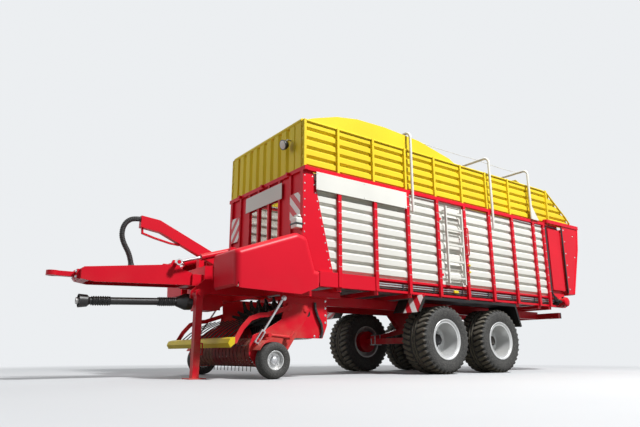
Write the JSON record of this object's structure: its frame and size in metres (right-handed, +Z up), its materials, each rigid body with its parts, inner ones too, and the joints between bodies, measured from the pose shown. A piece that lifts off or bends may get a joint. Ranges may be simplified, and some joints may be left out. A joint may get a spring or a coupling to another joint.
{
  "type": "loader wagon",
  "caption": "Farm loader wagon with pick-up, feed rotor, ribbed side sheets, raised hay section, scraper floor, dosing rollers, tailgate and a swing-down stand",
  "frame": {"origin": "on the ground under the middle of the overall box", "axes": "X forward along the wagon, Y to its left, Z up"},
  "size_m": [10.16, 2.55, 3.99],
  "materials": {
    "red_paint": "gloss enamel",
    "dark_red_paint": "worn enamel",
    "yellow_paint": "satin powder coat",
    "white_paint": "satin powder coat",
    "red_cover": "moulded, gloss",
    "silver_rim": "silver enamel",
    "tyre": "dusty rubber",
    "black_steel": "matt black enamel",
    "zinc": "galvanised",
    "bare_steel": "worn bright by crop",
    "chrome": "hard chrome",
    "black_plastic": "moulded guard",
    "hose_rubber": "ribbed hose cover",
    "white_plastic": "blown canister",
    "hazard": "red and white stripes",
    "lamp_red": "lens"
  },
  "bodies": {
    "chassis": {"axles": "red_paint", "canister": "white_plastic", "cross_bearers": "red_paint", "feed_trough": "bare_steel", "fenders": "black_steel", "front_frame": "red_paint", "front_wall": "red_paint", "gearbox": "red_paint", "hay_ends": "yellow_paint", "hay_sides": "yellow_paint", "hazard_boards": "hazard", "hoods": "red_cover", "hose_arm": "red_paint", "hose_bundle": "hose_rubber", "load_floor": "bare_steel", "main_frame": "red_paint", "name_boards": "white_paint", "rear_drive": "red_paint", "rear_walls": "red_paint", "roof_bows": "white_paint", "rotor_housing": "red_paint", "scraper_chains": "bare_steel", "side_posts": "red_paint", "side_rails": "red_paint", "side_sheets": "white_paint", "spring_hangers": "red_paint", "springs": "red_paint", "tail_lamps": "lamp_red"},
    "drawbar": {"drawbar": "red_paint", "hitch_eye": "red_paint"},
    "drive_shaft": {"drive_shaft": "black_plastic", "shaft_yoke": "bare_steel"},
    "cylinder_barrels": {"cylinder_barrels": "red_paint"},
    "cylinder_rods": {"cylinder_rods": "chrome"},
    "stand": {"stand": "red_paint"},
    "pickup": {"pickup_sides": "red_paint", "stripper_bands": "dark_red_paint"},
    "pickup_reel": {"pickup_reel": "black_steel"},
    "crop_press": {"press_frame": "red_paint", "press_bar": "yellow_paint"},
    "pickup_links": {"pickup_links": "zinc"},
    "feed_rotor": {"feed_rotor": "black_steel"},
    "dosing_roller_lower": {"dosing_roller_lower": "dark_red_paint"},
    "dosing_roller_upper": {"dosing_roller_upper": "dark_red_paint"},
    "tailgate": {"tailgate": "red_paint"},
    "side_door": {"side_door": "white_paint", "ladder": "white_paint"},
    "wheel_front_left": {"tyre_front_left": "tyre", "rim_front_left": "silver_rim"},
    "wheel_front_right": {"tyre_front_right": "tyre", "rim_front_right": "silver_rim"},
    "wheel_rear_left": {"tyre_rear_left": "tyre", "rim_rear_left": "silver_rim"},
    "wheel_rear_right": {"tyre_rear_right": "tyre", "rim_rear_right": "silver_rim"},
    "gauge_wheel_left": {"gauge_tyre_left": "tyre", "gauge_rim_left": "silver_rim"},
    "gauge_wheel_right": {"gauge_tyre_right": "tyre", "gauge_rim_right": "silver_rim"}
  },
  "joints": [
    {"name": "drawbar_fold", "type": "hinge", "parent": "chassis", "child": "drawbar", "pos_m": [3.235, 0, 1.285], "axis": [0, 1, 0], "range_deg": [-6, 10], "deforming": ["hose_bundle"]},
    {"name": "drive_shaft_swing", "type": "hinge", "parent": "chassis", "child": "drive_shaft", "pos_m": [3.28, 0, 1.01], "axis": [0, 1, 0], "range_deg": [-6, 10]},
    {"name": "cylinder_swing", "type": "hinge", "parent": "chassis", "child": "cylinder_barrels", "pos_m": [2.78, 0, 1.73], "axis": [0, 1, 0], "range_deg": [-1.76, 2.94]},
    {"name": "cylinder_stroke", "type": "slide", "parent": "cylinder_barrels", "child": "cylinder_rods", "axis": [0.9571, 0, -0.2897], "range_m": [-0.03016, 0.05027]},
    {"name": "stand_swing", "type": "hinge", "parent": "chassis", "child": "stand", "pos_m": [3.305, 0.48, 1.078], "axis": [0, -1, 0], "range_deg": [0, 180]},
    {"name": "pickup_lift", "type": "hinge", "parent": "chassis", "child": "pickup", "pos_m": [1.92, 0, 0.9], "axis": [0, -1, 0], "range_deg": [0, 13]},
    {"name": "reel_spin", "type": "hinge", "parent": "pickup", "child": "pickup_reel", "pos_m": [2.59, 0, 0.33], "axis": [0, 1, 0], "continuous": true},
    {"name": "press_float", "type": "hinge", "parent": "pickup", "child": "crop_press", "pos_m": [2.201, 0, 0.921], "axis": [0, -1, 0], "range_deg": [0, 4]},
    {"name": "link_swing", "type": "hinge", "parent": "chassis", "child": "pickup_links", "pos_m": [2.32, 0, 1.035], "axis": [0, -1, 0], "range_deg": [0, 16.6]},
    {"name": "rotor_spin", "type": "hinge", "parent": "chassis", "child": "feed_rotor", "pos_m": [1.86, 0, 0.85], "axis": [0, 1, 0], "continuous": true},
    {"name": "dosing_lower_spin", "type": "hinge", "parent": "chassis", "child": "dosing_roller_lower", "pos_m": [-4.17, 0, 1.76], "axis": [0, 1, 0], "continuous": true},
    {"name": "dosing_upper_spin", "type": "hinge", "parent": "chassis", "child": "dosing_roller_upper", "pos_m": [-4.17, 0, 2.33], "axis": [0, 1, 0], "continuous": true},
    {"name": "tailgate_lift", "type": "hinge", "parent": "chassis", "child": "tailgate", "pos_m": [-3.94, 0, 2.962], "axis": [0, 1, 0], "range_deg": [0, 65]},
    {"name": "door_swing", "type": "hinge", "parent": "chassis", "child": "side_door", "pos_m": [-0.713, 1.142, 2.15], "axis": [0, 0, -1], "range_deg": [0, 100]},
    {"name": "wheel_front_left_spin", "type": "hinge", "parent": "chassis", "child": "wheel_front_left", "pos_m": [-0.645, 0.975, 0.5375], "axis": [0, 1, 0], "continuous": true},
    {"name": "wheel_front_right_spin", "type": "hinge", "parent": "chassis", "child": "wheel_front_right", "pos_m": [-0.645, -0.975, 0.5375], "axis": [0, 1, 0], "continuous": true},
    {"name": "wheel_rear_left_spin", "type": "hinge", "parent": "chassis", "child": "wheel_rear_left", "pos_m": [-2.035, 0.975, 0.5375], "axis": [0, 1, 0], "continuous": true},
    {"name": "wheel_rear_right_spin", "type": "hinge", "parent": "chassis", "child": "wheel_rear_right", "pos_m": [-2.035, -0.975, 0.5375], "axis": [0, 1, 0], "continuous": true},
    {"name": "gauge_wheel_left_spin", "type": "hinge", "parent": "pickup", "child": "gauge_wheel_left", "pos_m": [2.51, 1.085, 0.23], "axis": [0, 1, 0], "continuous": true},
    {"name": "gauge_wheel_right_spin", "type": "hinge", "parent": "pickup", "child": "gauge_wheel_right", "pos_m": [2.51, -1.085, 0.23], "axis": [0, 1, 0], "continuous": true}
  ],
  "couplings": [
    {"joint": "drive_shaft_swing", "follows": "drawbar_fold", "ratio": 1},
    {"joint": "cylinder_swing", "follows": "drawbar_fold", "ratio": 0.29372},
    {"joint": "cylinder_stroke", "follows": "drawbar_fold", "m_per_rad": 0.28801},
    {"joint": "link_swing", "follows": "pickup_lift", "ratio": 1.2767}
  ]
}
